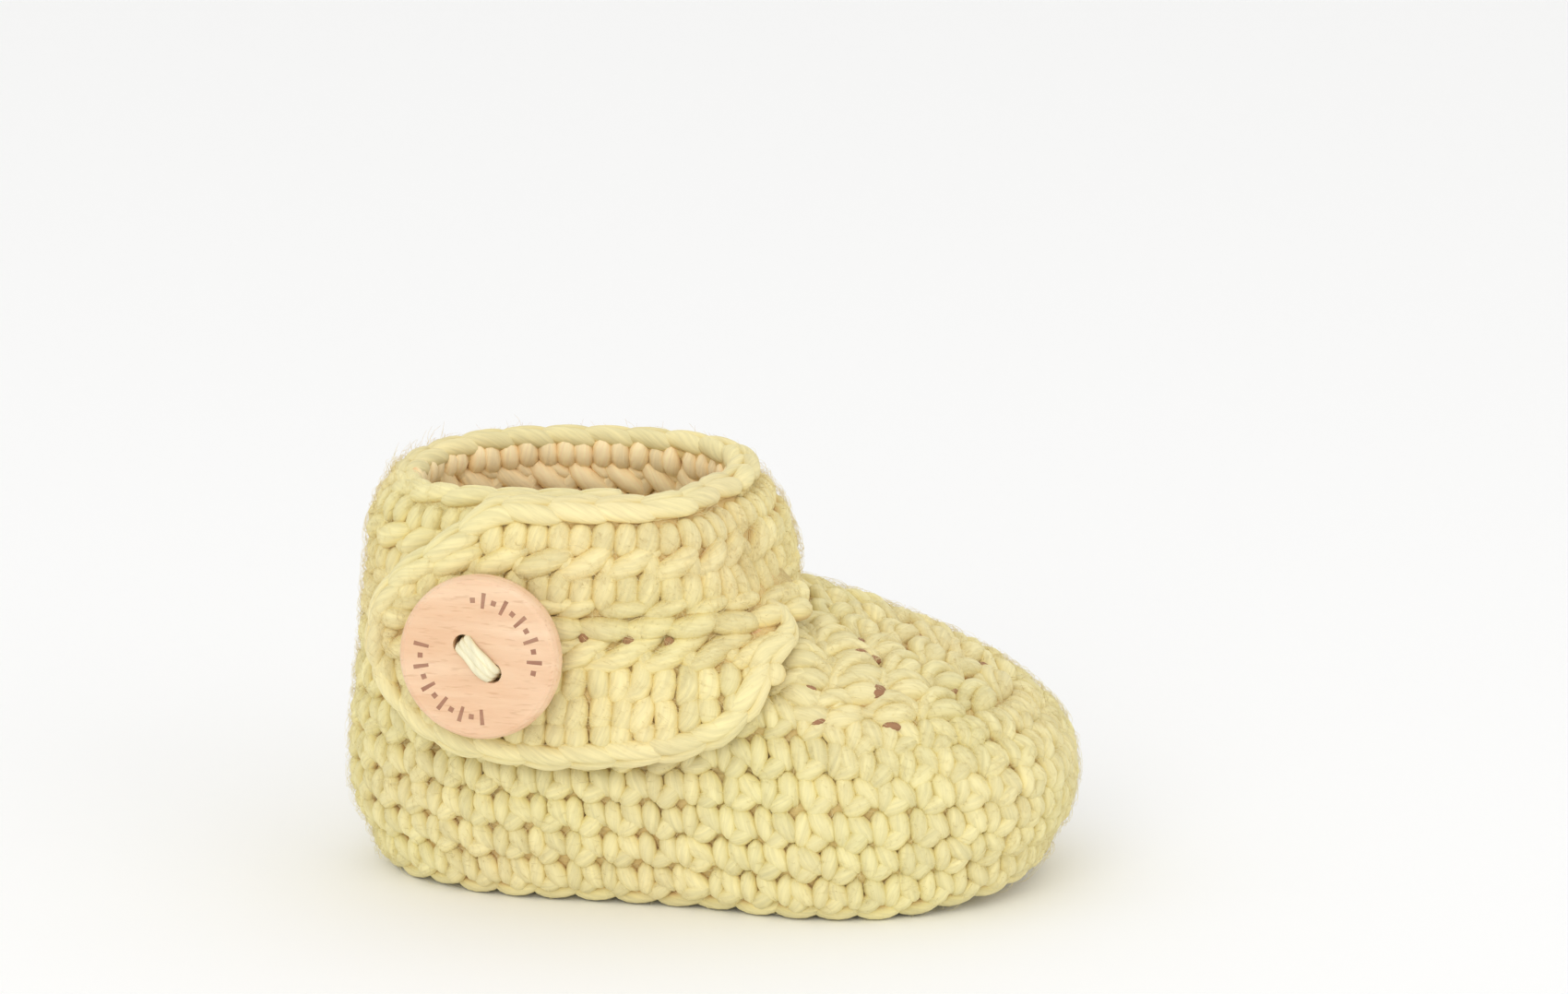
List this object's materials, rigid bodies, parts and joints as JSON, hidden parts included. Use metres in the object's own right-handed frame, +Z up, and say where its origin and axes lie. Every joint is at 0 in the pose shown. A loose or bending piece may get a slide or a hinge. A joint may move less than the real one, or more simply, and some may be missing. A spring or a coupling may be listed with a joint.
{
  "type": "baby bootie",
  "caption": "Crocheted baby bootie for the right foot, with an ankle cuff and a wrap flap under a round wooden two-hole button.",
  "frame": {"origin": "centre of the foot's length and width, on the ground", "axes": "+X from heel to toe, +Z up, the flap and button on the -Y side"},
  "size_m": [0.0915, 0.0562, 0.0517],
  "materials": {
    "yarn": "soft matte crocheted yarn",
    "wood": "smooth satin"
  },
  "bodies": {
    "bootie": {"sole": "yarn", "sole_edge_round": "yarn", "side_wall": "yarn", "toe_cap": "yarn", "heel_quarter": "yarn", "cuff_join_round": "yarn", "ankle_cuff": "yarn", "cuff_rim": "yarn"},
    "flap": {"wrap_flap": "yarn", "flap_edging": "yarn", "yarn_knot": "yarn"},
    "button": {"button": "wood", "button_yarn": "yarn"}
  },
  "joints": [
    {"name": "flap_open", "type": "hinge", "parent": "bootie", "child": "flap", "pos_m": [0.011, -0.008, 0.04], "axis": [-0.3011, 0, 0.9536], "range_deg": [0, 70]},
    {"name": "button_turn", "type": "hinge", "parent": "flap", "child": "button", "pos_m": [-0.02482, -0.02504, 0.03386], "axis": [-0.156, -0.9847, 0.0775], "range_deg": [-20, 20], "stiffness_Nm_per_rad": 0.00002}
  ]
}
